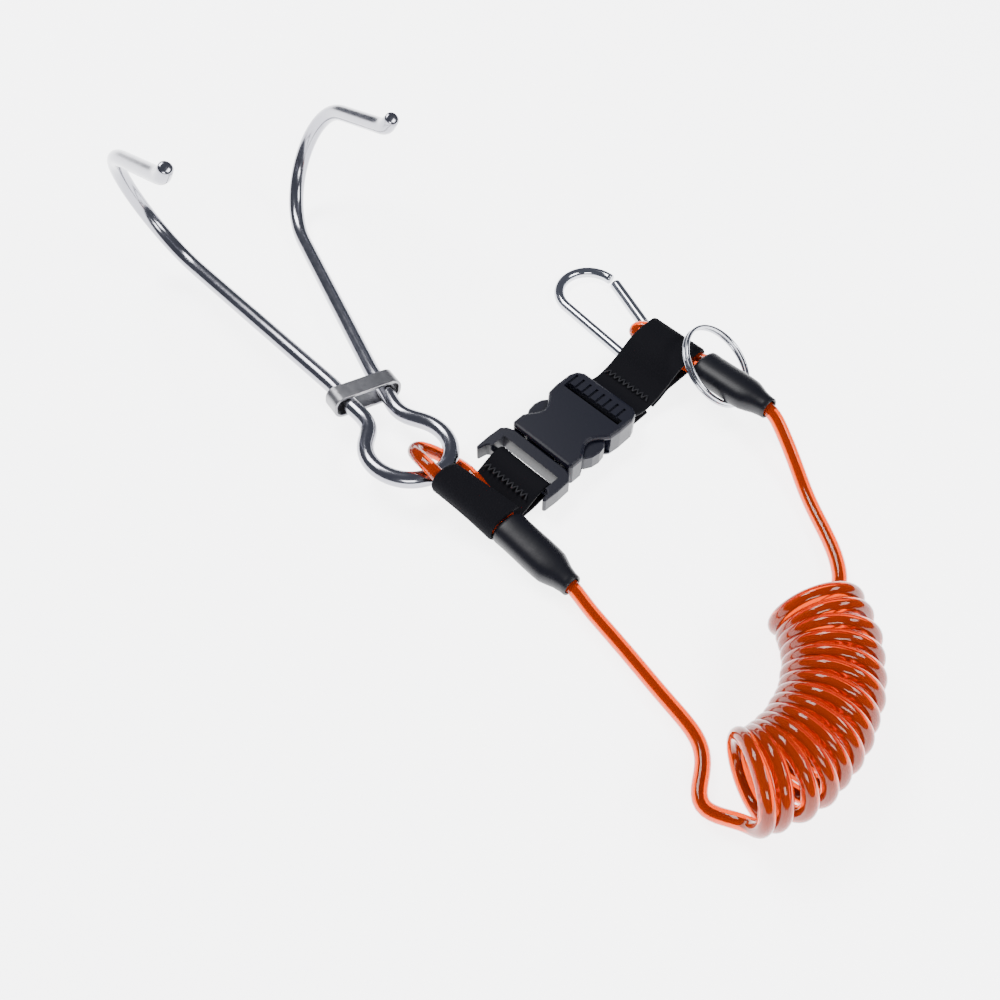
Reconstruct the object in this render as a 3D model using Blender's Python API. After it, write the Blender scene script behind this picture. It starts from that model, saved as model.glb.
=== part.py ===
"""Lip grip: a sprung wire fish gripper on a coiled lanyard, with a side-release buckle,
a snap hook and a split ring. Sizes are in millimetres and become metres in the meshes."""

import math

import bmesh
import bpy
import numpy as np
from mathutils import Euler, Matrix, Vector

MM = 0.001
GAP = 0.3

# wire gripper: x across, y towards the jaws, z towards the hook side
WIRE_R = 2.5
GRIPPER_PLACE = (-61.5, 18.1, 8.0)
GRIPPER_TURN = (-1.6, 9.6, 33.7)
ARM_HALF_GAP = 6.65
ARM_STRAIGHT = 72.5
ARM_SPREAD = 10.2
HOOK_TILT = 21.2
HOOK_BEND = 158.7
HOOK_LENGTH = 63.3
PRONG = 32.0
FOOT = 6.0
FOOT_RISE = 0.9
EYE_R = 12.6
EYE_OFFSET = 30.6
NECK_SPLIT = 0.58
SPLIT_GAP = 0.5
COLLAR_Y = -4.3
COLLAR_LENGTH = 6.0
COLLAR_STRIP = 0.9
COLLAR_SIDE_CLEAR = 1.35
COLLAR_FACE_CLEAR = 0.35

# cord, crimps and shrink sleeves
CORD_R = 2.1
COIL_R = 13.0
SLEEVE_HALF_W = 5.5
SLEEVE_HALF_H = 4.0
SLEEVE_WALL = 0.8
SLEEVE_LENGTH = 26.0
CRIMP_LENGTH = 12.0
STRAND_IN_SLEEVE = 5.0
LEFT_SLEEVE = ((-15.9, -31.7, 4.6), 0.0, -47.8)
RIGHT_SLEEVE = ((44.9, 25.4, 8.2), 6.5, -49.4)

# buckle, in its own frame: x towards the right strap, y across, z up
STRAP_TURN = 45.0
BUCKLE_H = 9.0
SHELL_WALL = 1.4
MOUTH_X = -8.5
SHELL_END_X = 21.4
MOUTH_HALF_W = 12.0
WAIST_HALF_W = 8.8
REAR_HALF_W = 13.0
WINDOW_X = (-3.8, 8.3)
CAVITY_HALF_W = 10.7
CAVITY_END_X = 11.6
SLOT_X = (12.9, 15.0)
SLOT_HALF_W = 10.9
BAR_UNDER_Z = 6.5
TOOTH_COUNT = 8
TOOTH_DEPTH = 0.6
ANCHOR_BAR_X = (15.5, 17.6)
ANCHOR_BAR_Z = (2.7, 4.3)
TINE_ROOT = (-8.0, 6.6)
MALE_Z = (1.8, 7.2)
MALE_WING_HALF_W = 14.0
MALE_TIP_X = -21.4
MALE_SLOT_X = (-14.9, -12.6)
MALE_BAR_X = (-17.9, -15.9)
MALE_BAR_Z = (3.4, 5.0)

# webbing
WEB_T = 1.2
WEB_V = (-10.4, 9.2)

# snap hook, in its own frame: x from the narrow end to the big end
HOOK_PLACE = (28.3, 36.8, 2.0)
HOOK_TURN = 121.3
HOOK_WIRE_R = 1.7
HOOK_BIG_R = 10.0
HOOK_SMALL_R = 6.0
HOOK_SPAN = 31.5
GATE_PIVOT_X = 9.5
GATE_R = 1.9
GATE_END_X = 30.6
PIN_R = 0.5
PIN_CLEAR = 0.15
TANG_T = 1.2

# split ring
RING_PLACE = (49.1, 24.8, 8.9)
RING_TILT = 35.6
RING_TILT_AXIS = 75.9
RING_OD = 27.6
RING_WIRE_R = 0.6
RING_PITCH = 1.4


def clear_scene():
    for item in list(bpy.data.objects):
        bpy.data.objects.remove(item, do_unlink=True)


def material(name, colour, metallic, roughness):
    made = bpy.data.materials.new(name)
    made.use_nodes = True
    shader = made.node_tree.nodes["Principled BSDF"]
    shader.inputs["Base Color"].default_value = (*colour, 1.0)
    shader.inputs["Metallic"].default_value = metallic
    shader.inputs["Roughness"].default_value = roughness
    return made


def empty(name, place, turn, parent=None):
    made = bpy.data.objects.new(name, None)
    made.location = Vector(place) * MM
    made.rotation_euler = Euler([math.radians(a) for a in turn], "XYZ")
    made.parent = parent
    bpy.context.scene.collection.objects.link(made)
    return made


def add_object(name, data, mat, parent=None, origin=(0, 0, 0)):
    made = bpy.data.objects.new(name, data)
    made.parent = parent
    made.location = Vector(origin) * MM
    if mat:
        data.materials.append(mat)
    bpy.context.scene.collection.objects.link(made)
    return made


def mesh_object(name, verts, faces, mat, parent=None, origin=(0, 0, 0), smooth=30):
    """Points in millimetres in the parent's frame; origin is the object's own origin there."""
    data = bpy.data.meshes.new(name)
    shift = np.array(origin, float)
    data.from_pydata([tuple((np.array(v) - shift) * MM) for v in verts], [], faces)
    bm = bmesh.new()
    bm.from_mesh(data)
    bmesh.ops.recalc_face_normals(bm, faces=bm.faces)
    bm.to_mesh(data)
    bm.free()
    data.shade_smooth()
    data.set_sharp_from_angle(angle=math.radians(smooth))
    return add_object(name, data, mat, parent, origin)


def cutter(name, verts, faces, parent):
    made = mesh_object(name, verts, faces, None, parent)
    made.hide_render = True
    made.display_type = "WIRE"
    return made


def boolean(target, tool, operation="DIFFERENCE"):
    step = target.modifiers.new(tool.name, "BOOLEAN")
    step.object = tool
    step.operation = operation
    step.solver = "EXACT"


def bevel(target, width, segments=1, angle=40):
    step = target.modifiers.new("edges", "BEVEL")
    step.width = width * MM
    step.segments = segments
    step.limit_method = "ANGLE"
    step.angle_limit = math.radians(angle)


def smooth_route(points, spacing):
    """A Catmull-Rom curve through the points, with points a fixed distance apart."""
    route = [np.array(p, float) for p in points]
    route = [2 * route[0] - route[1]] + route + [2 * route[-1] - route[-2]]
    fine = []
    for a, b, c, d in zip(route, route[1:], route[2:], route[3:]):
        for t in np.linspace(0, 1, 24, endpoint=False):
            fine.append(0.5 * (2 * b + (c - a) * t + (2 * a - 5 * b + 4 * c - d) * t * t
                               + (3 * b - a - 3 * c + d) * t ** 3))
    fine.append(route[-2])
    fine = np.array(fine)
    along = np.concatenate([[0], np.cumsum(np.linalg.norm(np.diff(fine, axis=0), axis=1))])
    count = max(3, int(round(along[-1] / spacing)) + 1)
    marks = np.linspace(0, along[-1], count)
    return np.stack([np.interp(marks, along, fine[:, k]) for k in range(3)], axis=1)


def tube(name, points, radius, mat, parent=None, origin=(0, 0, 0), resolution=3):
    """A round tube along the points, closed by flat caps."""
    data = bpy.data.curves.new(name, "CURVE")
    data.dimensions = "3D"
    data.resolution_u = 1
    data.render_resolution_u = 0
    data.bevel_depth = radius * MM
    data.bevel_resolution = resolution
    data.use_fill_caps = True
    spline = data.splines.new("POLY")
    spline.points.add(len(points) - 1)
    for slot, point in zip(spline.points, points):
        local = (np.array(point) - np.array(origin)) * MM
        slot.co = (*local, 1.0)
    return add_object(name, data, mat, parent, origin)


def box(low, high):
    corners = [(x, y, z) for x in (low[0], high[0]) for y in (low[1], high[1]) for z in (low[2], high[2])]
    faces = [(0, 1, 3, 2), (4, 6, 7, 5), (0, 4, 5, 1), (2, 3, 7, 6), (0, 2, 6, 4), (1, 5, 7, 3)]
    return corners, faces


def boxes(pairs):
    verts, faces = [], []
    for low, high in pairs:
        more, sides = box(low, high)
        faces += [tuple(i + len(verts) for i in side) for side in sides]
        verts += more
    return verts, faces


def slab(outline, low, high):
    """An outline in x and y, raised from low to high."""
    count = len(outline)
    verts = [(x, y, low) for x, y in outline] + [(x, y, high) for x, y in outline]
    faces = [tuple(range(count)), tuple(range(count, 2 * count))]
    faces += [(i, (i + 1) % count, (i + 1) % count + count, i + count) for i in range(count)]
    return verts, faces


def drum(centre, radius, low, high, sides=16):
    outline = []
    for k in range(sides):
        turn = 2 * math.pi * k / sides
        outline.append((centre[0] + radius * math.cos(turn), centre[1] + radius * math.sin(turn)))
    return slab(outline, low, high)


def arc_points(centre, radius, start, end, count):
    turns = np.radians(np.linspace(start, end, count))
    return [(centre[0] + radius * math.cos(t), centre[1] + radius * math.sin(t)) for t in turns]


def webbing(name, right, left, mat, parent):
    """A strap whose centre line in x and z is given at its right and at its left edge."""
    def skins(path):
        path = np.array(path, float)
        step = np.gradient(path, axis=0)
        step /= np.linalg.norm(step, axis=1)[:, None]
        normal = np.stack([-step[:, 1], step[:, 0]], axis=1) * WEB_T / 2
        return path + normal, path - normal

    count = len(right)
    verts = []
    for side, v in ((right, WEB_V[0]), (left, WEB_V[1])):
        for skin in skins(side):
            verts += [(x, v, z) for x, z in skin]
    faces = []
    for i in range(count - 1):
        a, b, c, d = i, i + count, i + 2 * count, i + 3 * count
        faces += [(a, a + 1, c + 1, c), (b, d, d + 1, b + 1), (a, b, b + 1, a + 1), (c, c + 1, d + 1, d)]
    faces += [(0, 2 * count, 3 * count, count)]
    last = count - 1
    faces += [(last, last + count, last + 3 * count, last + 2 * count)]
    return mesh_object(name, verts, faces, mat, parent)


def bar_tack(name, corner, across, height, mat, parent, turns=7, width=0.7):
    """One zigzag line of thread between two x values, along the strap's width."""
    xs = corner
    ys = np.linspace(across[0], across[1], 2 * turns + 1)
    path = [(xs[k % 2], y) for k, y in enumerate(ys)]
    forward = [(x + width / 2, y) for x, y in path]
    back = [(x - width / 2, y) for x, y in reversed(path)]
    verts, faces = slab(forward + back, height, height + 0.4)
    return mesh_object(name, verts, faces, mat, parent)


# ---- wire gripper ------------------------------------------------------------------------

def neck_point(t):
    """The neck from the end of the eye's arc (t = 0) to the collar (t = 1)."""
    end = math.radians(50)
    start = np.array([EYE_R * math.cos(end), -EYE_OFFSET + EYE_R * math.sin(end)])
    finish = np.array([ARM_HALF_GAP, -3.0])
    reach = 1.2 * np.linalg.norm(finish - start)
    out = np.array([-math.sin(end), math.cos(end)]) * reach
    into = np.array([0.0, 1.0]) * reach
    x, y = ((2 * t ** 3 - 3 * t ** 2 + 1) * start + (t ** 3 - 2 * t ** 2 + t) * out
            + (3 * t ** 2 - 2 * t ** 3) * finish + (t ** 3 - t ** 2) * into)
    return np.array([x, y, 0.0])


def eye_points():
    """Half of the eye, from the bottom of its arc to just before the split in the neck."""
    half = [(x, y, 0.0) for x, y in arc_points((0, -EYE_OFFSET), EYE_R, -90, 50, 13)]
    half += [neck_point(t) for t in np.linspace(0, NECK_SPLIT, 7)[1:]]
    half[-1] = half[-1] - trim(half[-2], half[-1])
    return half


def trim(before, after):
    step = np.array(after) - np.array(before)
    return step / np.linalg.norm(step) * SPLIT_GAP / 2


def arm_points(side):
    """One jaw arm: neck, straight, hook bent in a tilted plane, prong and foot."""
    points = [neck_point(t) for t in np.linspace(NECK_SPLIT, 1, 5)]
    points[0] = points[0] + trim(points[0], points[1])
    spread = math.radians(ARM_SPREAD)
    tilt = math.radians(HOOK_TILT)
    ahead = np.array([math.sin(spread), math.cos(spread), 0.0])
    rise = np.array([math.sin(tilt) * math.cos(spread), -math.sin(tilt) * math.sin(spread), math.cos(tilt)])
    place = np.array([ARM_HALF_GAP, 1.5, 0.0])
    for step in np.linspace(0, ARM_STRAIGHT, 9):
        points.append(place + ahead * step)
    steps = 26
    place = points[-1]
    for k in range(steps):
        angle = math.radians(HOOK_BEND) * (k + 0.5) / steps
        place = place + (ahead * math.cos(angle) + rise * math.sin(angle)) * HOOK_LENGTH / steps
        points.append(place)
    end = math.radians(HOOK_BEND)
    prong = ahead * math.cos(end) + rise * math.sin(end)
    for step in np.linspace(0, PRONG, 5)[1:]:
        points.append(place + prong * step)
    kick = prong + np.array([0.0, 0.0, FOOT_RISE])
    points.append(points[-1] + kick / np.linalg.norm(kick) * FOOT)
    return [p * np.array([side, 1, 1]) for p in points]


def build_gripper(steel, satin):
    frame = empty("gripper_frame", GRIPPER_PLACE, GRIPPER_TURN)
    half = eye_points()
    whole = [np.array(p) * np.array([-1, 1, 1]) for p in reversed(half[1:])] + [np.array(p) for p in half]
    tube("wire_eye", whole, WIRE_R, steel, frame)
    pivot = neck_point(NECK_SPLIT)
    for name, side in (("left_jaw_arm", -1), ("right_jaw_arm", 1)):
        tube(name, arm_points(side), WIRE_R, steel, frame, pivot * np.array([side, 1, 1]))
    half_x = ARM_HALF_GAP + WIRE_R + COLLAR_SIDE_CLEAR
    half_z = WIRE_R + COLLAR_FACE_CLEAR
    verts, faces = rounded_band(half_x, half_z, COLLAR_STRIP, 2.2, COLLAR_LENGTH)
    mesh_object("slide_collar", verts, faces, satin, frame, (0, COLLAR_Y, 0))


def rounded_band(half_x, half_z, strip, radius, length):
    """A flat strip bent round a rounded rectangle, with its width along y."""
    ring = []
    for grow in (0.0, strip):
        points = []
        for sx, sz, start in ((1, 1, 0), (-1, 1, 90), (-1, -1, 180), (1, -1, 270)):
            centre = (sx * (half_x - radius), sz * (half_z - radius))
            points += arc_points(centre, radius + grow, start, start + 90, 5)
        ring.append(points)
    inner, outer = ring
    count = len(inner)
    verts = []
    for y in (COLLAR_Y - length / 2, COLLAR_Y + length / 2):
        for points in (inner, outer):
            verts += [(x, y, z) for x, z in points]
    faces = []
    for i in range(count):
        j = (i + 1) % count
        faces += [(i, j, j + 2 * count, i + 2 * count)]
        faces += [(i + count, i + 3 * count, j + 3 * count, j + count)]
        faces += [(i, i + count, j + count, j)]
        faces += [(i + 2 * count, j + 2 * count, j + 3 * count, i + 3 * count)]
    return verts, faces


# ---- shrink sleeves, crimps and cord -----------------------------------------------------

def oval(half_w, half_h, x, sides=18):
    turns = [2 * math.pi * k / sides for k in range(sides)]
    return [(x, half_w * math.cos(t), half_h * math.sin(t)) for t in turns]


def loft(rings, closed_ends):
    count = len(rings[0])
    verts = [p for ring in rings for p in ring]
    faces = []
    rows = len(rings)
    last = rows - 1 if closed_ends else rows
    for r in range(last):
        s = (r + 1) % rows
        for i in range(count):
            j = (i + 1) % count
            faces.append((r * count + i, r * count + j, s * count + j, s * count + i))
    if closed_ends:
        faces += [tuple(range(count)), tuple(range((rows - 1) * count, rows * count))]
    return verts, faces


def build_sleeve(side, sleeve, rubber, alloy):
    """Sleeve axis along x from its mouth; the crimp sits inside it."""
    place, rise, turn = sleeve
    frame = empty(side + "_sleeve_frame", place, (0, -rise, turn))
    neck_r = CORD_R + GAP + SLEEVE_WALL
    outer = [(0, SLEEVE_HALF_W, SLEEVE_HALF_H), (1.2, SLEEVE_HALF_W + 0.1, SLEEVE_HALF_H + 0.1),
             (SLEEVE_LENGTH - 8, SLEEVE_HALF_W, SLEEVE_HALF_H),
             (SLEEVE_LENGTH - 4, neck_r + 0.7, neck_r + 0.3), (SLEEVE_LENGTH, neck_r, neck_r)]
    rings = [oval(w, h, x) for x, w, h in outer]
    rings += [oval(w - SLEEVE_WALL, h - SLEEVE_WALL, x) for x, w, h in reversed(outer)]
    verts, faces = loft(rings, closed_ends=False)
    mesh_object(side + "_shrink_sleeve", verts, faces, rubber, frame)
    start = STRAND_IN_SLEEVE + GAP
    width = SLEEVE_HALF_W - SLEEVE_WALL - GAP
    height = SLEEVE_HALF_H - SLEEVE_WALL - GAP
    verts, faces = loft([oval(width, height, start), oval(width, height, start + CRIMP_LENGTH)], True)
    mesh_object(side + "_crimp", verts, faces, alloy, frame)


def sleeve_point(sleeve, x, y):
    place, rise, turn = sleeve
    rise = math.radians(rise)
    turn = math.radians(turn)
    level = x * math.cos(rise)
    return (place[0] + level * math.cos(turn) - y * math.sin(turn),
            place[1] + level * math.sin(turn) + y * math.cos(turn), place[2] + x * math.sin(rise))


def strap_point(x, y, z):
    angle = math.radians(STRAP_TURN)
    return (x * math.cos(angle) - y * math.sin(angle), x * math.sin(angle) + y * math.cos(angle), z)


LEFT_LOOP = [strap_point(-36.8, -5.7, 6.8), strap_point(-37.8, 0.2, 9.3), strap_point(-38.9, 6.3, 11.9),
             strap_point(-39.3, 12.7, 14.0), (-40.6, -14.2, 13.6), (-42.4, -10.0, 11.2), (-41.4, -6.6, 8.2),
             (-38.2, -5.2, 5.0), (-34.8, -5.6, 2.9), (-31.8, -7.2, 2.3), (-28.8, -10.4, 3.8),
             (-26.2, -14.0, 5.0), (-23.6, -17.7, 4.9), (-18.6, -25.2, 4.7)]
RIGHT_LOOP = [strap_point(46.9, -8.0, 7.4), strap_point(46.3, 0.0, 7.4), strap_point(46.1, 7.5, 7.3),
              strap_point(46.9, 11.2, 6.8), strap_point(48.6, 12.4, 6.4), strap_point(50.2, 11.0, 6.8),
              strap_point(50.9, 7.5, 7.3), strap_point(51.2, 0.0, 7.4), strap_point(51.3, -8.0, 7.4)]
RUN_LEFT = [(5.0, -55.6, 3.0), (14.4, -68.4, 2.4), (23.2, -81.2, 2.4), (29.2, -89.6, 2.4), (31.8, -94.6, 2.4),
            (32.0, -100.2, 2.4), (30.2, -105.6, 2.4), (29.6, -108.9, 2.4), (30.8, -111.6, 2.4),
            (33.0, -113.2, 2.5)]
COIL_LINE = [(36.0, -109.6, 13.5), (38.1, -108.9, 13.5), (47.3, -105.8, 13.5), (55.8, -98.2, 13.5),
             (61.5, -89.3, 13.5), (64.5, -79.9, 13.5), (64.9, -70.8, 13.5), (63.3, -64.5, 13.5),
             (62.3, -61.5, 13.5)]
RUN_RIGHT = [(64.0, 2.4, 9.6), (66.4, -3.6, 7.2), (68.9, -11.5, 4.2), (70.6, -19.0, 2.6), (72.2, -26.0, 2.4),
             (73.9, -32.6, 2.4), (75.0, -38.0, 2.4), (75.5, -44.0, 2.4), (74.6, -50.0, 2.4), (71.6, -55.0, 2.4)]


def build_cords(cord):
    strand = CORD_R + 0.08
    for name, sleeve, route in (("left_cord_loop", LEFT_SLEEVE, LEFT_LOOP),
                                ("right_cord_loop", RIGHT_SLEEVE, RIGHT_LOOP)):
        ends = [sleeve_point(sleeve, x, -strand) for x in (STRAND_IN_SLEEVE, 0)]
        back = [sleeve_point(sleeve, x, strand) for x in (0, STRAND_IN_SLEEVE)]
        tube(name, smooth_route(ends + route + back, 2.4), CORD_R, cord, resolution=2)
    inside = STRAND_IN_SLEEVE + CRIMP_LENGTH + 2 * GAP
    for name, sleeve, route in (("cord_run_left", LEFT_SLEEVE, RUN_LEFT),
                                ("cord_run_right", RIGHT_SLEEVE, RUN_RIGHT)):
        start = [sleeve_point(sleeve, x, 0) for x in (inside, SLEEVE_LENGTH + 1.5)]
        tube(name, smooth_route(start + route, 5.0), CORD_R, cord, resolution=2)
    tube("cord_coil", smooth_route(COIL_LINE, 8.0), COIL_R, cord, resolution=6)


# ---- buckle ------------------------------------------------------------------------------

def mirrored(half):
    return half + [(x, -y) for x, y in reversed(half)]


def shell_outline():
    half = [(MOUTH_X, MOUTH_HALF_W - 0.8), (MOUTH_X + 1.0, MOUTH_HALF_W)]
    low, high = WINDOW_X
    for t in np.linspace(0, 1, 9):
        x = low + (high - low) * t
        depth = math.sin(math.pi * (x - low) / (high - low)) ** 1.3 if 0 < t < 1 else 0
        side = MOUTH_HALF_W + (REAR_HALF_W - 0.4 - MOUTH_HALF_W) * t
        half.append((x, side - (side - WAIST_HALF_W) * depth))
    half += [(12.0, REAR_HALF_W), (17.6, REAR_HALF_W - 0.1), (20.2, REAR_HALF_W - 1.1), (SHELL_END_X, 9.6)]
    return mirrored(half)


def build_female(plastic, frame):
    shell = mesh_object("buckle_female_shell", *slab(shell_outline(), 0, BUCKLE_H), plastic, frame)
    bevel(shell, 0.9, 2)
    top = BUCKLE_H - SHELL_WALL
    low, high = WINDOW_X
    cuts = [((MOUTH_X - 5, -CAVITY_HALF_W, SHELL_WALL), (CAVITY_END_X, CAVITY_HALF_W, top))]
    boolean(shell, cutter("cavity_cutter", *boxes(cuts), frame))
    cuts = [((low, 7.0, SHELL_WALL), (high, 20.0, top)), ((low, -20.0, SHELL_WALL), (high, -7.0, top))]
    boolean(shell, cutter("window_cutter", *boxes(cuts), frame))
    cuts = [((SLOT_X[0], -SLOT_HALF_W, -5), (SLOT_X[1], SLOT_HALF_W, BUCKLE_H + 5))]
    boolean(shell, cutter("slot_cutter", *boxes(cuts), frame))
    cuts = [((SLOT_X[1] - 0.5, -SLOT_HALF_W, -5), (SHELL_END_X + 5, SLOT_HALF_W, BAR_UNDER_Z))]
    boolean(shell, cutter("channel_cutter", *boxes(cuts), frame))
    low_bar = (ANCHOR_BAR_X[0], -SLOT_HALF_W - 1, ANCHOR_BAR_Z[0])
    high_bar = (ANCHOR_BAR_X[1], SLOT_HALF_W + 1, ANCHOR_BAR_Z[1])
    boolean(shell, cutter("anchor_bar", *boxes([(low_bar, high_bar)]), frame), "UNION")
    pitch = 2 * SLOT_HALF_W / TOOTH_COUNT
    cuts = []
    for k in range(TOOTH_COUNT):
        y = -SLOT_HALF_W + pitch * (k + 0.72)
        cuts.append(((SLOT_X[1] - 1, y, BUCKLE_H - TOOTH_DEPTH), (19.0, y + pitch * 0.3, BUCKLE_H + 2)))
    boolean(shell, cutter("tooth_cutter", *boxes(cuts), frame))


def build_male(plastic, frame):
    half = [(MOUTH_X - GAP, 10.4), (-9.6, 12.6), (-11.2, MALE_WING_HALF_W), (-16.0, MALE_WING_HALF_W + 0.2),
            (MALE_TIP_X + 0.6, 14.0), (MALE_TIP_X, 13.6), (MALE_TIP_X, 12.9), (-18.6, 12.3), (MALE_BAR_X[0], 11.6)]
    base = mesh_object("buckle_male_base", *slab(mirrored(half), *MALE_Z), plastic, frame)
    bevel(base, 0.7, 2)
    cuts = [((MALE_SLOT_X[0], -SLOT_HALF_W, -5), (MALE_SLOT_X[1], SLOT_HALF_W, 15))]
    boolean(base, cutter("male_slot_cutter", *boxes(cuts), frame))
    far = MALE_SLOT_X[0] + 0.5
    cuts = [((-19.5, -SLOT_HALF_W, MALE_BAR_Z[1]), (far, SLOT_HALF_W, 15)),
            ((-19.5, -SLOT_HALF_W, -5), (far, SLOT_HALF_W, MALE_BAR_Z[0])),
            ((MALE_BAR_X[1], -SLOT_HALF_W, -5), (far + 0.1, SLOT_HALF_W, 15))]
    for k, pair in enumerate(cuts):
        boolean(base, cutter("male_bar_cutter_%d" % k, *boxes([pair]), frame))
    guide = [((MOUTH_X - 1.5, -2.2, 3.2), (8.0, 2.2, 5.8))]
    boolean(base, cutter("centre_guide", *boxes(guide), frame), "UNION")


def build_tines(plastic, frame):
    outline = [(-8.3, 5.3), (-7.6, 7.5), (-4.6, 9.3), (-3.3, 10.3), (-2.2, 11.7), (0.0, 12.9), (2.7, 13.3),
               (5.2, 12.8), (7.0, 11.5), (7.9, 10.1), (7.6, 8.6), (5.0, 8.0), (0.0, 7.8), (-4.0, 7.0), (-7.0, 5.0)]
    for name, side in (("buckle_left_tine", 1), ("buckle_right_tine", -1)):
        shape = [(x, y * side) for x, y in outline]
        low = SHELL_WALL + GAP
        made = mesh_object(name, *slab(shape, low, BUCKLE_H - low), plastic, frame,
                           (TINE_ROOT[0], TINE_ROOT[1] * side, BUCKLE_H / 2))
        bevel(made, 0.4)


# ---- straps ------------------------------------------------------------------------------

def wrap(centre, radius, start, end, count=9):
    return arc_points(centre, radius, start, end, count)


def build_straps(fabric, thread, frame):
    bar = (sum(ANCHOR_BAR_X) / 2 - 0.2, sum(ANCHOR_BAR_Z) / 2)
    turn = 2.1
    path = [(31.0, 1.6), (34.0, 2.6), (37.5, 4.3), (41.0, 4.4), (46.0, 4.4), (49.0, 4.4)]
    path += wrap((51.4, 7.4), 3.0, -90, 90)
    path += [(49.0, 10.4), (46.0, 10.4), (42.0, 9.4), (39.0, 7.7), (36.0, 5.8), (32.0, 4.1), (28.0, 3.2),
             (25.0, 3.5), (21.5, 4.8), (19.0, bar[1] + turn)]
    path += wrap(bar, turn, 90, 270)
    path += [(19.5, 1.2), (23.0, 0.95), (26.0, 0.95), (28.4, 0.95)]
    webbing("right_strap", path, path, fabric, frame)
    bar_tack("right_strap_stitching", (29.2, 31.0), (-8.6, 8.0), 4.6, thread, frame)

    bar = (sum(MALE_BAR_X) / 2, sum(MALE_BAR_Z) / 2)
    path = [(-27.0, 0.95), (-24.0, 0.95), (-21.0, 1.2)]
    path += wrap(bar, turn, 270, 450)
    path += [(-19.5, 5.9), (-22.5, 4.5), (-25.5, 3.0), (-28.6, 1.6), (-31.0, 1.0)]
    right = path + [(-33.0, 1.0)] + wrap((-36.0, 4.9), 3.4, 270, 90) + [(-34.0, 8.3), (-31.0, 8.3), (-28.4, 7.9)]
    left = path + [(-33.6, 2.6)] + wrap((-39.2, 13.1), 3.5, 225, 80) + [(-37.4, 16.5), (-35.6, 15.9), (-34.0, 15.0)]
    webbing("left_strap", right, left, fabric, frame)
    bar_tack("left_strap_stitching", (-23.6, -22.0), (-8.6, 8.0), 5.6, thread, frame)


# ---- snap hook ---------------------------------------------------------------------------

def gate_line(x):
    lean = math.asin((HOOK_BIG_R - HOOK_SMALL_R) / HOOK_SPAN)
    return -(HOOK_SMALL_R / math.cos(lean) + x * math.tan(lean))


def build_snap_hook(steel, frame):
    lean = math.degrees(math.asin((HOOK_BIG_R - HOOK_SMALL_R) / HOOK_SPAN))
    path = arc_points((HOOK_SPAN, 0), HOOK_BIG_R, -80, 90 + lean, 18)
    path += arc_points((0, 0), HOOK_SMALL_R, 90 + lean, 270 - lean, 12)
    body_end = GATE_PIVOT_X - 3.2
    path += [(body_end * 0.5, gate_line(body_end * 0.5)), (body_end, gate_line(body_end))]
    body = tube("carabiner_body", [(x, y, 0) for x, y in path], HOOK_WIRE_R, steel, frame, resolution=3)
    body = to_mesh(body)
    pivot = (GATE_PIVOT_X, gate_line(GATE_PIVOT_X))
    tang = [(body_end - 2.0, gate_line(body_end) - 1.3), (GATE_PIVOT_X + 1.2, pivot[1] - 1.4),
            (GATE_PIVOT_X + 1.7, pivot[1]), (GATE_PIVOT_X + 1.2, pivot[1] + 1.4),
            (body_end - 2.0, gate_line(body_end) + 1.3)]
    boolean(body, cutter("tang", *slab(tang, -TANG_T / 2, TANG_T / 2), frame), "UNION")
    boolean(body, cutter("tang_hole", *drum(pivot, PIN_R + PIN_CLEAR, -5, 5), frame))
    mesh_object("gate_pin", *drum(pivot, PIN_R, -GATE_R, GATE_R), steel, frame)

    start = (GATE_PIVOT_X - 1.9, gate_line(GATE_PIVOT_X - 1.9), 0)
    end = (GATE_END_X, gate_line(GATE_END_X), 0)
    gate = tube("carabiner_gate", [start, end], GATE_R, steel, frame, (*pivot, 0), resolution=3)
    gate = to_mesh(gate)
    reach = GATE_PIVOT_X + 4.0
    slot = [((0, -20, -TANG_T / 2 - GAP / 2), (reach, 0, TANG_T / 2 + GAP / 2))]
    boolean(gate, cutter("gate_slot", *boxes(slot), frame))
    boolean(gate, cutter("gate_hole", *drum(pivot, PIN_R + PIN_CLEAR, -5, 5), frame))
    bore = [(x, gate_line(x), 0) for x in (reach - 1, reach + 9)]
    bore_tool = to_mesh(tube("gate_bore", bore, 1.15, None, frame, resolution=2))
    bore_tool.hide_render = True
    bore_tool.display_type = "WIRE"
    boolean(gate, bore_tool)
    spring = []
    for k in range(49):
        x = reach + 0.8 + k * 0.15
        turn = 2 * math.pi * k / 8
        spring.append((x, gate_line(x) + 0.75 * math.cos(turn), 0.75 * math.sin(turn)))
    tube("gate_spring", spring, 0.18, steel, frame, (*pivot, 0), resolution=0)


def to_mesh(curve_object):
    """The same solid as a mesh, so that Booleans can work on it."""
    bpy.context.view_layer.update()
    graph = bpy.context.evaluated_depsgraph_get()
    data = bpy.data.meshes.new_from_object(curve_object.evaluated_get(graph))
    name = curve_object.name
    parent, place = curve_object.parent, curve_object.location.copy()
    materials = list(curve_object.data.materials)
    bpy.data.objects.remove(curve_object, do_unlink=True)
    bm = bmesh.new()
    bm.from_mesh(data)
    bmesh.ops.remove_doubles(bm, verts=bm.verts, dist=0.00001)
    bmesh.ops.recalc_face_normals(bm, faces=bm.faces)
    bm.to_mesh(data)
    bm.free()
    if materials and not data.materials:
        data.materials.append(materials[0])
    made = bpy.data.objects.new(name, data)
    made.parent = parent
    made.location = place
    bpy.context.scene.collection.objects.link(made)
    return made


# ---- split ring --------------------------------------------------------------------------

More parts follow.
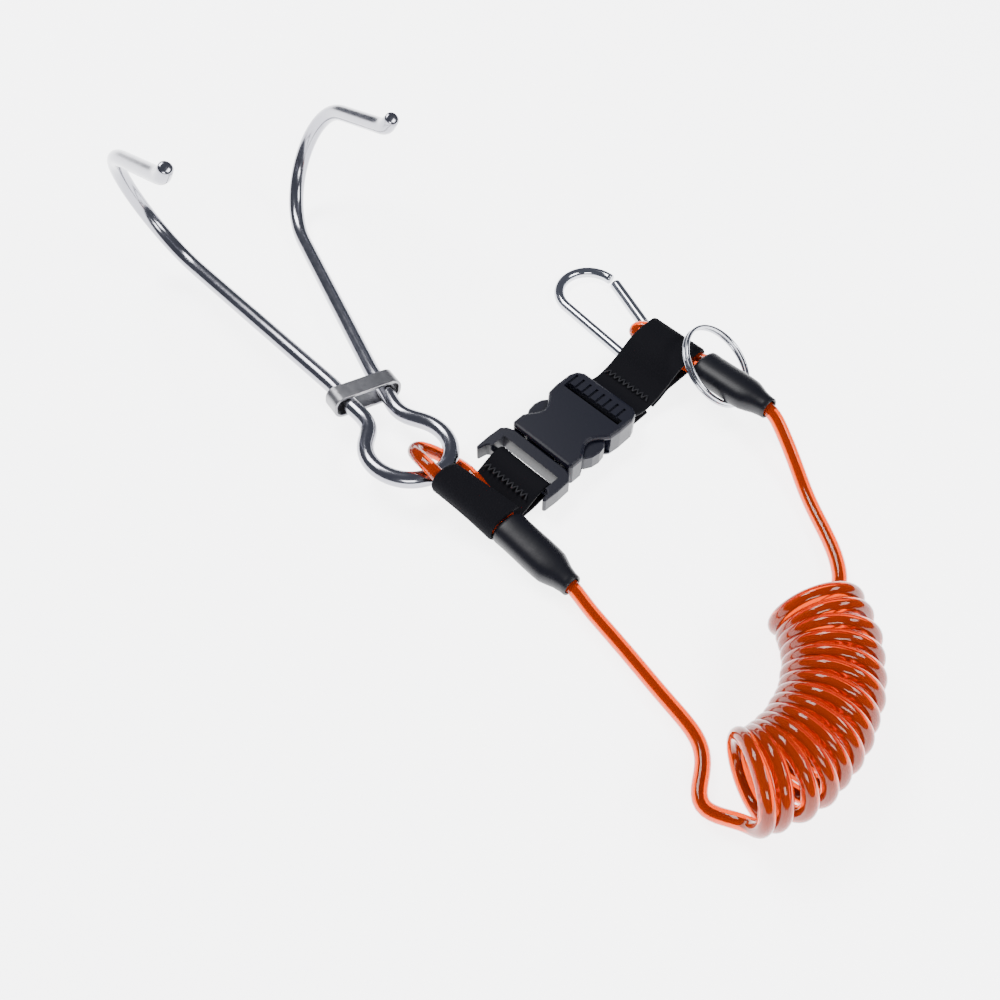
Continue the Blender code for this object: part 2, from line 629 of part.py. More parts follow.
def build_ring(steel):
    radius = RING_OD / 2 - RING_WIRE_R
    axis = math.radians(RING_TILT_AXIS)
    tilt = Matrix.Rotation(math.radians(RING_TILT), 4, Vector((math.cos(axis), math.sin(axis), 0)))
    frame = empty("ring_frame", RING_PLACE, (0, 0, 0))
    frame.rotation_euler = tilt.to_euler()
    points = []
    count = 68
    for k in range(count):
        turn = 4 * math.pi * k / count
        step = min(1.0, max(0.0, (k / (count - 1) - 0.42) / 0.16))
        lift = (step - 0.5) * RING_PITCH
        points.append((radius * math.cos(turn), radius * math.sin(turn), lift))
    tube("split_ring", points, RING_WIRE_R, steel, frame, resolution=2)


def main():
    clear_scene()
    steel = material("polished_steel", (0.62, 0.63, 0.66), 1.0, 0.18)
    satin = material("satin_steel", (0.42, 0.42, 0.43), 1.0, 0.42)
    plastic = material("buckle_plastic", (0.012, 0.014, 0.028), 0.0, 0.45)
    fabric = material("black_webbing", (0.008, 0.008, 0.012), 0.0, 0.9)
    thread = material("black_thread", (0.012, 0.012, 0.015), 0.0, 0.8)
    rubber = material("shrink_tube", (0.01, 0.01, 0.016), 0.0, 0.5)
    alloy = material("crimp_alloy", (0.6, 0.6, 0.6), 1.0, 0.4)
    cord = material("orange_cord", (0.75, 0.16, 0.02), 0.0, 0.15)

    build_gripper(steel, satin)
    build_sleeve("left", LEFT_SLEEVE, rubber, alloy)
    build_sleeve("right", RIGHT_SLEEVE, rubber, alloy)
    build_cords(cord)
    buckle = empty("buckle_frame", (0, 0, 0), (0, 0, STRAP_TURN))
    build_female(plastic, buckle)
    build_male(plastic, buckle)
    build_tines(plastic, buckle)
    build_straps(fabric, thread, buckle)
    hook = empty("snap_hook_frame", HOOK_PLACE, (0, 0, HOOK_TURN))
    build_snap_hook(steel, hook)
    build_ring(steel)


main()
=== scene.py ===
import math

import bmesh
import bpy
import numpy as np
from mathutils import Euler, Matrix, Vector


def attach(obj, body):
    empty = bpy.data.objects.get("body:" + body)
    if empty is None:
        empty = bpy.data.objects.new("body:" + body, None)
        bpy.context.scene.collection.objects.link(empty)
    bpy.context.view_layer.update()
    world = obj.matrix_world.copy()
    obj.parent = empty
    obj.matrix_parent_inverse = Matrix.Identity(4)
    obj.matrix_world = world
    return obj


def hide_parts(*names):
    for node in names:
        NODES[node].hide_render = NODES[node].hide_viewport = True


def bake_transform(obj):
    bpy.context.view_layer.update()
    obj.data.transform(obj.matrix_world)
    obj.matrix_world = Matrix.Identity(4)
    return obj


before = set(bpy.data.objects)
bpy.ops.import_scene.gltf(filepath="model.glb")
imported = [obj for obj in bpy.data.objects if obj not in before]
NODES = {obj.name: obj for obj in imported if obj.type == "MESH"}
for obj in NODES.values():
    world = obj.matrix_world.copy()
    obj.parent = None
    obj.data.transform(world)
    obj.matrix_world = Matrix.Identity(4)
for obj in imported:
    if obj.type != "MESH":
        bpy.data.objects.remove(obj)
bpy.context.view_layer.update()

MM = 0.001

# the same sizes as the CAD, in millimetres
WIRE_R = 2.5
ARM_HALF_GAP = 6.65
ARM_STRAIGHT = 72.5
ARM_SPREAD = 10.2
HOOK_TILT = 21.2
HOOK_BEND = 158.7
HOOK_LENGTH = 63.3
PRONG = 32.0
FOOT = 6.0
FOOT_RISE = 0.9
EYE_R = 12.6
EYE_OFFSET = 30.6
COLLAR_Y = -4.3
CORD_R = 2.1
COIL_R = 13.0
COIL_TURNS = 13.93
COIL_START = -52
COIL_STEPS = 28
SLEEVE_HALF_W = 5.5
SLEEVE_HALF_H = 4.0
SLEEVE_LENGTH = 26.0
STRAND_IN_SLEEVE = 5.0
CRIMP_LENGTH = 12.0
LEFT_SLEEVE = ((-15.9, -31.7, 4.6), 0.0, -47.8)
RIGHT_SLEEVE = ((44.9, 25.4, 8.2), 6.5, -49.4)
WEB_T = 1.2
WEB_V = (-10.4, 9.2)
HOOK_WIRE_R = 1.7
HOOK_BIG_R = 10.0
HOOK_SMALL_R = 6.0
HOOK_SPAN = 31.5
GATE_PIVOT_X = 9.5
GATE_R = 1.9
GATE_END_X = 30.6
HOOK_PLACE = ((28.3, 36.8, 2.0), 121.3)
RING_PLACE = (49.1, 24.8, 8.9)
RING_TILT = 35.6
RING_TILT_AXIS = 75.9
RING_OD = 27.6
RING_WIRE_R = 0.6
RING_PITCH = 1.4

GRIPPER = Matrix.Translation(Vector((-61.5, 18.1, 8.0))) @ Euler(
    [math.radians(a) for a in (-1.6, 9.6, 33.7)]).to_matrix().to_4x4()
BUCKLE = Matrix.Rotation(math.radians(45), 4, "Z")
HOOK = Matrix.Translation(Vector(HOOK_PLACE[0])) @ Matrix.Rotation(math.radians(HOOK_PLACE[1]), 4, "Z")


# ---- materials ---------------------------------------------------------------------------

def shader(name, colour, metallic=0.0, roughness=0.4, **sockets):
    made = bpy.data.materials.new(name)
    made.use_nodes = True
    bsdf = made.node_tree.nodes["Principled BSDF"]
    bsdf.inputs["Base Color"].default_value = (*colour, 1.0)
    bsdf.inputs["Metallic"].default_value = metallic
    bsdf.inputs["Roughness"].default_value = roughness
    for key, value in sockets.items():
        bsdf.inputs[key.replace("_", " ")].default_value = value
    return made, made.node_tree, bsdf


def grain(tree, bsdf, scale, strength, distance, detail=4.0):
    """A fine bump over the surface; scale is in cycles per metre, distance in metres."""
    place = tree.nodes.new("ShaderNodeTexCoord")
    noise = tree.nodes.new("ShaderNodeTexNoise")
    noise.inputs["Scale"].default_value = scale
    noise.inputs["Detail"].default_value = detail
    bump = tree.nodes.new("ShaderNodeBump")
    bump.inputs["Strength"].default_value = strength
    bump.inputs["Distance"].default_value = distance
    tree.links.new(place.outputs["Object"], noise.inputs["Vector"])
    tree.links.new(noise.outputs["Fac"], bump.inputs["Height"])
    tree.links.new(bump.outputs["Normal"], bsdf.inputs["Normal"])
    return noise


def vary(tree, bsdf, noise, low, high):
    """The roughness follows the same grain, between low and high."""
    ramp = tree.nodes.new("ShaderNodeMapRange")
    ramp.inputs["To Min"].default_value = low
    ramp.inputs["To Max"].default_value = high
    tree.links.new(noise.outputs["Fac"], ramp.inputs["Value"])
    tree.links.new(ramp.outputs["Result"], bsdf.inputs["Roughness"])


def build_materials():
    made = {}
    mat, tree, bsdf = shader("polished_steel", (0.27, 0.27, 0.3), 1.0, 0.16)
    vary(tree, bsdf, grain(tree, bsdf, 260, 0.12, 0.0001), 0.1, 0.24)
    made["steel"] = mat
    mat, tree, bsdf = shader("bright_steel", (0.4, 0.41, 0.44), 1.0, 0.1)
    vary(tree, bsdf, grain(tree, bsdf, 300, 0.06, 0.0001), 0.06, 0.16)
    made["bright"] = mat
    mat, tree, bsdf = shader("satin_steel", (0.2, 0.2, 0.21), 1.0, 0.36)
    vary(tree, bsdf, grain(tree, bsdf, 500, 0.35, 0.0002), 0.28, 0.48)
    made["satin"] = mat
    mat, tree, bsdf = shader("buckle_plastic", (0.004, 0.0045, 0.011), 0.0, 0.4, Specular_IOR_Level=0.28)
    grain(tree, bsdf, 1500, 0.12, 0.0001, 2.0)
    made["plastic"] = mat
    mat, tree, bsdf = shader("shrink_tube", (0.003, 0.003, 0.006), 0.0, 0.4, Specular_IOR_Level=0.25)
    grain(tree, bsdf, 350, 0.2, 0.0002)
    made["rubber"] = mat
    mat, tree, bsdf = shader("black_webbing", (0.0022, 0.0022, 0.004), 0.0, 0.8, Specular_IOR_Level=0.12)
    grain(tree, bsdf, 2600, 0.5, 0.0002, 2.0)
    made["fabric"] = mat
    mat, tree, bsdf = shader("black_thread", (0.006, 0.006, 0.009), 0.0, 0.6, Specular_IOR_Level=0.3)
    made["thread"] = mat
    mat, tree, bsdf = shader("orange_cord", (0.72, 0.06, 0.001), 0.0, 0.07, IOR=1.4, Specular_IOR_Level=0.3)
    bsdf.inputs["Transmission Weight"].default_value = 0.72
    made["cord"] = mat
    mat, tree, bsdf = shader("dark_core", (0.035, 0.004, 0.001), 0.0, 0.5)
    made["core"] = mat
    mat, tree, bsdf = shader("crimp_alloy", (0.6, 0.6, 0.6), 1.0, 0.4)
    made["alloy"] = mat
    return made


# ---- shapes ------------------------------------------------------------------------------

def spline(points, spacing):
    """A Catmull-Rom curve through the points, with points a fixed distance apart."""
    route = [np.array(p, float) for p in points]
    route = [2 * route[0] - route[1]] + route + [2 * route[-1] - route[-2]]
    fine = []
    for a, b, c, d in zip(route, route[1:], route[2:], route[3:]):
        for t in np.linspace(0, 1, 24, endpoint=False):
            fine.append(0.5 * (2 * b + (c - a) * t + (2 * a - 5 * b + 4 * c - d) * t * t
                               + (3 * b - a - 3 * c + d) * t ** 3))
    fine.append(route[-2])
    return even(fine, spacing)


def even(fine, spacing):
    fine = np.array(fine, float)
    along = np.concatenate([[0], np.cumsum(np.linalg.norm(np.diff(fine, axis=0), axis=1))])
    count = max(3, int(round(along[-1] / spacing)) + 1)
    marks = np.linspace(0, along[-1], count)
    return np.stack([np.interp(marks, along, fine[:, k]) for k in range(3)], axis=1)


def length(points):
    return float(np.linalg.norm(np.diff(np.array(points), axis=0), axis=1).sum())


def smooth(points, rounds):
    points = np.array(points, float)
    for _ in range(rounds):
        points[1:-1] = points[1:-1] * 0.5 + (points[:-2] + points[2:]) * 0.25
    return points


def put(points, matrix):
    return [tuple(matrix @ Vector(p)) for p in points]


def add(name, data, mat, node_body, replaced=()):
    made = bpy.data.objects.new(name, data)
    bpy.context.scene.collection.objects.link(made)
    data.materials.append(mat)
    if replaced:
        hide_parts(*replaced)
    if node_body:
        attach(made, node_body)
    return made


def mesh(name, verts, faces, smooth_angle=40):
    data = bpy.data.meshes.new(name)
    data.from_pydata([tuple(np.array(v) * MM) for v in verts], [], faces)
    bm = bmesh.new()
    bm.from_mesh(data)
    bmesh.ops.recalc_face_normals(bm, faces=bm.faces)
    bm.to_mesh(data)
    bm.free()
    data.shade_smooth()
    data.set_sharp_from_angle(angle=math.radians(smooth_angle))
    return data


def sweep(points, radii, sides=20, dome=(True, True)):
    """A tube along the points as verts and faces; ends are domed or flat."""
    points = np.array(points, float)
    radii = np.full(len(points), float(radii)) if np.isscalar(radii) else np.array(radii, float)
    rows, sizes = list(points), list(radii)
    for end, doming in ((0, dome[0]), (-1, dome[1])):
        if not doming:
            continue
        step = rows[end] - rows[1 if end == 0 else -2]
        step /= np.linalg.norm(step)
        tip, size = rows[end], sizes[end]
        for angle in (30, 55, 75):
            place = tip + step * size * 0.35 * math.sin(math.radians(angle))
            width = size * math.cos(math.radians(angle))
            if end == 0:
                rows.insert(0, place)
                sizes.insert(0, width)
            else:
                rows.append(place)
                sizes.append(width)
    rows = np.array(rows)
    tangent = np.gradient(rows, axis=0)
    tangent /= np.linalg.norm(tangent, axis=1)[:, None]
    side = np.cross(tangent[0], (0.31, 0.17, 0.93))
    side /= np.linalg.norm(side)
    verts, faces = [], []
    turn = np.linspace(0, 2 * math.pi, sides, endpoint=False)
    for place, ahead, size in zip(rows, tangent, sizes):
        side = side - ahead * np.dot(side, ahead)
        side /= np.linalg.norm(side)
        other = np.cross(ahead, side)
        verts += list(place + size * (np.outer(np.cos(turn), side) + np.outer(np.sin(turn), other)))
    for k in range(len(rows) - 1):
        for i in range(sides):
            j = (i + 1) % sides
            faces.append((k * sides + i, k * sides + j, (k + 1) * sides + j, (k + 1) * sides + i))
    faces.append(tuple(range(sides)))
    faces.append(tuple(range((len(rows) - 1) * sides, len(rows) * sides)))
    return verts, faces


def join(parts):
    verts, faces = [], []
    for more, sides in parts:
        faces += [tuple(i + len(verts) for i in side) for side in sides]
        verts += list(more)
    return verts, faces


def soften(made, width, segments=3, angle=35):
    step = made.modifiers.new("edges", "BEVEL")
    step.width = width * MM
    step.segments = segments
    step.limit_method = "ANGLE"
    step.angle_limit = math.radians(angle)
    step.harden_normals = True


# ---- wire gripper ------------------------------------------------------------------------

def neck(t):
    end = math.radians(50)
    start = np.array([EYE_R * math.cos(end), -EYE_OFFSET + EYE_R * math.sin(end)])
    finish = np.array([ARM_HALF_GAP, -3.0])
    reach = 1.2 * np.linalg.norm(finish - start)
    out = np.array([-math.sin(end), math.cos(end)]) * reach
    into = np.array([0.0, 1.0]) * reach
    x, y = ((2 * t ** 3 - 3 * t ** 2 + 1) * start + (t ** 3 - 2 * t ** 2 + t) * out
            + (3 * t ** 2 - 2 * t ** 3) * finish + (t ** 3 - t ** 2) * into)
    return np.array([x, y, 0.0])


def half_wire():
    """Half of the gripper's wire, from the bottom of the eye to the foot of one prong."""
    turns = np.radians(np.linspace(-90, 50, 30))
    points = [np.array([EYE_R * math.cos(t), -EYE_OFFSET + EYE_R * math.sin(t), 0.0]) for t in turns]
    points += [neck(t) for t in np.linspace(0, 1, 16)[1:]]
    spread, tilt = math.radians(ARM_SPREAD), math.radians(HOOK_TILT)
    ahead = np.array([math.sin(spread), math.cos(spread), 0.0])
    rise = np.array([math.sin(tilt) * math.cos(spread), -math.sin(tilt) * math.sin(spread), math.cos(tilt)])
    place = np.array([ARM_HALF_GAP, 1.5, 0.0])
    points += [place + ahead * step for step in np.linspace(0, ARM_STRAIGHT, 40)]
    place = points[-1]
    steps = 60
    for k in range(steps):
        angle = math.radians(HOOK_BEND) * (k + 0.5) / steps
        place = place + (ahead * math.cos(angle) + rise * math.sin(angle)) * HOOK_LENGTH / steps
        points.append(place)
    end = math.radians(HOOK_BEND)
    prong = ahead * math.cos(end) + rise * math.sin(end)
    points += [place + prong * step for step in np.linspace(0, PRONG, 18)[1:]]
    kick = prong + np.array([0.0, 0.0, FOOT_RISE])
    kick /= np.linalg.norm(kick)
    points += [points[-1] + kick * step for step in np.linspace(0, FOOT, 5)[1:]]
    return smooth(even(points, 1.4), 4)


def build_gripper(mats):
    for name, sign in (("right", 1), ("left", -1)):
        points = put([p * np.array([sign, 1, 1]) for p in half_wire()], GRIPPER)
        radii = np.full(len(points), WIRE_R)
        radii[-4:] = np.linspace(WIRE_R, WIRE_R * 0.86, 4)
        verts, faces = sweep(points, radii, 28, dome=(False, True))
        wire = bpy.data.objects.new(name + "_gripper_wire", mesh(name + "_gripper_wire", verts, faces, 50))
        bpy.context.scene.collection.objects.link(wire)
        wire.data.materials.append(mats["steel"])
        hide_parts(name + "_jaw_arm", "wire_eye")
        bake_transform(wire)


# ---- cord --------------------------------------------------------------------------------

def strap_point(x, y, z):
    return tuple(BUCKLE @ Vector((x, y, z)))


def sleeve_point(sleeve, x, y):
    place, rise, turn = sleeve
    rise, turn = math.radians(rise), math.radians(turn)
    level = x * math.cos(rise)
    return (place[0] + level * math.cos(turn) - y * math.sin(turn),
            place[1] + level * math.sin(turn) + y * math.cos(turn), place[2] + x * math.sin(rise))


LEFT_LOOP = [strap_point(-36.8, -5.7, 6.8), strap_point(-37.8, 0.2, 9.3), strap_point(-38.9, 6.3, 11.9),
             strap_point(-39.3, 12.7, 14.0), (-40.6, -14.2, 13.6), (-42.4, -10.0, 11.2), (-41.4, -6.6, 8.2),
             (-38.2, -5.2, 5.0), (-34.8, -5.6, 2.9), (-31.8, -7.2, 2.3), (-28.8, -10.4, 3.8),
             (-26.2, -14.0, 5.0), (-23.6, -17.7, 4.9), (-18.6, -25.2, 4.7)]
RIGHT_LOOP = [strap_point(46.9, -8.0, 7.4), strap_point(46.3, 0.0, 7.4), strap_point(46.1, 7.5, 7.3),
              strap_point(46.9, 11.2, 6.8), strap_point(48.6, 12.4, 6.4), strap_point(50.2, 11.0, 6.8),
              strap_point(50.9, 7.5, 7.3), strap_point(51.2, 0.0, 7.4), strap_point(51.3, -8.0, 7.4)]
RUN_LEFT = [(5.0, -55.6, 3.0), (14.4, -68.4, 2.4), (23.2, -81.2, 2.4), (29.2, -89.6, 2.4), (31.8, -94.6, 2.4),
            (32.0, -100.2, 2.4), (30.2, -105.6, 2.4), (29.6, -108.9, 2.4), (30.8, -111.6, 2.4),
            (33.0, -113.2, 2.5)]
COIL_LINE = [(36.0, -109.6, 13.5), (38.1, -108.9, 13.5), (47.3, -105.8, 13.5), (55.8, -98.2, 13.5),
             (61.5, -89.3, 13.5), (64.5, -79.9, 13.5), (64.9, -70.8, 13.5), (63.3, -64.5, 13.5),
             (62.3, -61.5, 13.5)]
RUN_RIGHT = [(64.0, 2.4, 9.6), (66.4, -3.6, 7.2), (68.9, -11.5, 4.2), (70.6, -19.0, 2.6), (72.2, -26.0, 2.4),
             (73.9, -32.6, 2.4), (75.0, -38.0, 2.4), (75.5, -44.0, 2.4), (74.6, -50.0, 2.4), (71.6, -55.0, 2.4)]


def coil_points():
    """The helix, wound along the coil's own line, from its front end to its back end."""
    line = spline(COIL_LINE[1:], 0.5)
    along = np.concatenate([[0], np.cumsum(np.linalg.norm(np.diff(line, axis=0), axis=1))])
    tangent = np.gradient(line, axis=0)
    tangent /= np.linalg.norm(tangent, axis=1)[:, None]
    radius = COIL_R - CORD_R
    points = []
    count = int(COIL_TURNS * COIL_STEPS)
    start = math.radians(COIL_START)
    for k in range(count + 1):
        share = k / count
        mark = share * along[-1]
        place = np.array([np.interp(mark, along, line[:, i]) for i in range(3)])
        ahead = np.array([np.interp(mark, along, tangent[:, i]) for i in range(3)])
        ahead[2] = 0
        ahead /= np.linalg.norm(ahead)
        right = np.array([ahead[1], -ahead[0], 0])
        turn = start + 2 * math.pi * k / COIL_STEPS
        wobble = 1 + 0.012 * math.sin(2.3 * turn / (2 * math.pi) + 1.1)
        points.append(place + radius * wobble * (right * math.cos(turn) + np.array([0, 0, 1]) * math.sin(turn)))
    return points


def cord_piece(name, points, core_name, body, replaced, mats, blended=None, radius=CORD_R, sides=20):
    verts, faces = sweep(points, radius, sides, dome=(False, False))
    outer = bpy.data.objects.new(name, mesh(name, verts, faces, 60))
    bpy.context.scene.collection.objects.link(outer)
    outer.data.materials.append(mats["cord"])
    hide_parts(*replaced)
    verts, faces = sweep(points[1:-1], radius * 0.34, 12, dome=(False, False))
    core = bpy.data.objects.new(core_name, mesh(core_name, verts, faces, 60))
    bpy.context.scene.collection.objects.link(core)
    core.data.materials.append(mats["core"])
    for piece in (outer, core):
        if blended:
            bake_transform(piece)
        else:
            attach(piece, body)
    return outer, core


def build_cords(mats):
    inside = STRAND_IN_SLEEVE + CRIMP_LENGTH + 0.6
    start = [sleeve_point(LEFT_SLEEVE, x, 0) for x in (inside, SLEEVE_LENGTH + 1.5)]
    finish = [sleeve_point(RIGHT_SLEEVE, x, 0) for x in (SLEEVE_LENGTH + 1.5, inside)]
    run_in = start + RUN_LEFT[:-1]
    run_out = list(reversed(RUN_RIGHT[:-1])) + finish
    coil = coil_points()
    points = spline(run_in, 3.0)
    points = np.vstack([points, coil, spline(run_out, 3.0)])
    points = spline(points, 1.6)
    points = smooth(points, 6)
    a = tuple(np.array((3.0, -55.0, 3.0)) * MM)
    b = tuple(np.array((27.0, -55.0, 3.0)) * MM)
    outer, core = cord_piece("lanyard_cord", points, "lanyard_core", None,
                             ("cord_run_left", "cord_coil", "cord_run_right"), mats,
                             ("buckle_male", "strap_half", a, b))
    print("lanyard cord length mm", round(length(points), 1))
    strand = CORD_R + 0.08
    for side, sleeve, route, body in (("left", LEFT_SLEEVE, LEFT_LOOP, "buckle_male"),
                                      ("right", RIGHT_SLEEVE, RIGHT_LOOP, "strap_half")):
        ends = [sleeve_point(sleeve, x, -strand) for x in (STRAND_IN_SLEEVE, 0)]
        back = [sleeve_point(sleeve, x, strand) for x in (0, STRAND_IN_SLEEVE)]
        points = smooth(spline(ends + route + back, 1.0), 2)
        outer, core = cord_piece(side + "_loop_cord", points, side + "_loop_core", body,
                                 (side + "_cord_loop",), mats)
        print(side, "loop length mm", round(length(points), 1))


def build_sleeves(mats):
    for side, sleeve, body in (("left", LEFT_SLEEVE, "buckle_male"), ("right", RIGHT_SLEEVE, "strap_half")):
        place, rise, turn = sleeve
        matrix = Matrix.Translation(Vector(place)) @ Euler(
            (0, math.radians(-rise), math.radians(turn))).to_matrix().to_4x4()
        neck_r = CORD_R + 1.1
        outer = [(-0.2, 0.93), (0.15, 1.0), (1.0, 1.02), (4, 1.0), (8, 1.0), (12, 1.01), (16, 1.0), (18.2, 0.97)]
        rings = [(x, SLEEVE_HALF_W * s, SLEEVE_HALF_H * s) for x, s in outer]
        rings += [(20.2, neck_r + 1.35, neck_r + 0.55), (22.2, neck_r + 0.55, neck_r + 0.2),
                  (24.5, neck_r + 0.05, neck_r), (25.9, neck_r - 0.05, neck_r - 0.05),
                  (26.2, neck_r - 0.35, neck_r - 0.35)]
        rings += [(25.9, CORD_R + 0.35, CORD_R + 0.35), (20.0, CORD_R + 0.35, CORD_R + 0.35)]
        verts, faces = [], []
        sides = 40
        closing = [(2.5, SLEEVE_HALF_W - 1.0, SLEEVE_HALF_H - 0.9),
                   (0.2, SLEEVE_HALF_W - 0.8, SLEEVE_HALF_H - 0.7)]
        rings = closing + rings
        for x, w, h in rings:
            for k in range(sides):
                t = 2 * math.pi * k / sides
                c, s = math.cos(t), math.sin(t)
                verts.append(tuple(matrix @ Vector((x, w * math.copysign(abs(c) ** 0.86, c),
                                                    h * math.copysign(abs(s) ** 0.86, s)))))
        for k in range(len(rings) - 1):
            for i in range(sides):
                j = (i + 1) % sides
                faces.append((k * sides + i, k * sides + j, (k + 1) * sides + j, (k + 1) * sides + i))
        add(side + "_sleeve_skin", mesh(side + "_sleeve_skin", verts, faces, 50), mats["rubber"], body,
            (side + "_shrink_sleeve",))


# ---- straps ------------------------------------------------------------------------------

def wrap(centre, radius, start, end, count=10):
    turns = np.radians(np.linspace(start, end, count))
    return [(centre[0] + radius * math.cos(t), centre[1] + radius * math.sin(t)) for t in turns]


def web_mesh(right, left):
    """Webbing with lengthwise ribs and thin edges, laid along the centre lines of its two edges."""
    def fine(path):
        return spline([(x, 0, z) for x, z in path], 0.45)[:, [0, 2]]
    right, left = fine(right), fine(left)
    count = max(len(right), len(left))

    def again(path):
        marks = np.linspace(0, 1, len(path))
        return np.stack([np.interp(np.linspace(0, 1, count), marks, path[:, i]) for i in range(2)], axis=1)
    right, left = again(right), again(left)
    across = 61
    verts = []
    for skin in (1, -1):
        for k in range(count):
            for i in range(across):
                share = i / (across - 1)
                path = right * (1 - share) + left * share
                step = path[min(k + 1, count - 1)] - path[max(k - 1, 0)]
                step = step / np.linalg.norm(step)
                normal = np.array([-step[1], step[0]])
                edge = min(i, across - 1 - i)
                rib = 0.09 * math.cos(math.pi * i) * (0.6 + 0.4 * math.cos(math.pi * (k + (i // 2) % 2)))
                thick = WEB_T / 2 - 0.1 + rib
                if edge == 0:
                    thick = 0.3
                place = path[k] + normal * thick * skin
                v = WEB_V[0] + share * (WEB_V[1] - WEB_V[0])
                verts.append(tuple(BUCKLE @ Vector((place[0], v, place[1]))))
    faces = []
    size = count * across
    for k in range(count - 1):
        for i in range(across - 1):
            a = k * across + i
            faces.append((a, a + 1, a + across + 1, a + across))
            faces.append((a + size, a + size + across, a + size + across + 1, a + size + 1))
    for k in range(count - 1):
        for i in (0, across - 1):
            a = k * across + i
            faces.append((a, a + across, a + across + size, a + size))
    for k in (0, count - 1):
        for i in range(across - 1):
            a = k * across + i
            faces.append((a, a + 1, a + 1 + size, a + size))
    return verts, faces, length([(x, 0, z) for x, z in (right + left) / 2])


def stitches(us, across, height, turns, mats, name, body, replaced):
    """A zigzag row of thread: one short raised stitch for each leg of the zigzag."""
    ys = np.linspace(across[0], across[1], 2 * turns + 1)
    parts = []
    for k in range(2 * turns):
        a = np.array((us[k % 2], ys[k], height))
        b = np.array((us[(k + 1) % 2], ys[k + 1], height))
        mid = (a + b) / 2 + np.array((0, 0, 0.18))
        line = put(spline([a, mid, b], 0.35), BUCKLE)
        parts.append(sweep(line, 0.26, 8, dome=(True, True)))
    verts, faces = join(parts)
    add(name, mesh(name, verts, faces, 60), mats["thread"], body, replaced)


def build_straps(mats):
    turn = 2.1
    bar = (16.35, 3.5)
    path = [(31.0, 1.6), (34.0, 2.6), (37.5, 4.3), (41.0, 4.4), (46.0, 4.4), (49.0, 4.4)]
    path += wrap((51.4, 7.4), 3.0, -90, 90)
    path += [(49.0, 10.4), (46.0, 10.4), (42.0, 9.4), (39.0, 7.7), (36.0, 5.8), (32.0, 4.1), (28.0, 3.2),
             (25.0, 3.5), (21.5, 4.8), (19.0, bar[1] + turn)]
    path += wrap(bar, turn, 90, 270)
    path += [(19.5, 1.2), (23.0, 0.95), (26.0, 0.95), (28.4, 0.95)]
    verts, faces, run = web_mesh(path, path)
    strap = add("right_web", mesh("right_web", verts, faces, 70), mats["fabric"], "strap_half",
                ("right_strap",))
    print("right strap mm", round(run, 1))
    stitches((29.2, 31.2), (-8.6, 8.0), 4.35, 9, mats, "right_stitches", "strap_half",
             ("right_strap_stitching",))

    bar = (-16.9, 4.2)
    path = [(-27.0, 0.95), (-24.0, 0.95), (-21.0, 1.2)]
    path += wrap(bar, turn, 270, 450)
    path += [(-19.5, 5.9), (-22.5, 4.5), (-25.5, 3.0), (-28.6, 1.6), (-31.0, 1.0)]
    right = path + [(-33.0, 1.0)] + wrap((-36.0, 4.9), 3.4, 270, 90)
    right += [(-34.0, 8.3), (-31.0, 8.3), (-28.4, 7.9)]
    left = path + [(-33.6, 2.6)] + wrap((-39.2, 13.1), 3.5, 225, 80)
    left += [(-37.4, 16.5), (-35.6, 15.9), (-34.0, 15.0)]
    verts, faces, run = web_mesh(right, left)
    strap = add("left_web", mesh("left_web", verts, faces, 70), mats["fabric"], "buckle_male",
                ("left_strap",))
    print("left strap mm", round(run, 1))
    stitches((-23.8, -21.8), (-8.6, 8.0), 5.25, 9, mats, "left_stitches", "buckle_male",
             ("left_strap_stitching",))


# ---- split ring --------------------------------------------------------------------------

def build_ring(mats):
    radius = RING_OD / 2 - RING_WIRE_R
    axis = math.radians(RING_TILT_AXIS)
    matrix = Matrix.Translation(Vector(RING_PLACE)) @ Matrix.Rotation(
        math.radians(RING_TILT), 4, Vector((math.cos(axis), math.sin(axis), 0)))
    points = []
    count = 260
    for k in range(count):
        turn = 4 * math.pi * k / count
        step = min(1.0, max(0.0, (k / (count - 1) - 0.42) / 0.16))
        lift = (step * step * (3 - 2 * step) - 0.5) * RING_PITCH
        points.append((radius * math.cos(turn), radius * math.sin(turn), lift))
    verts, faces = sweep(put(points, matrix), RING_WIRE_R, 14, dome=(True, True))
    add("split_ring_wire", mesh("split_ring_wire", verts, faces, 60), mats["bright"], "ring",
        ("split_ring",))


# ---- snap hook ---------------------------------------------------------------------------

def arc(centre, radius, start, end, count):
    turns = np.radians(np.linspace(start, end, count))
    return [(centre[0] + radius * math.cos(t), centre[1] + radius * math.sin(t), 0.0) for t in turns]


def gate_line(x):
    lean = math.asin((HOOK_BIG_R - HOOK_SMALL_R) / HOOK_SPAN)
    return -(HOOK_SMALL_R / math.cos(lean) + x * math.tan(lean))


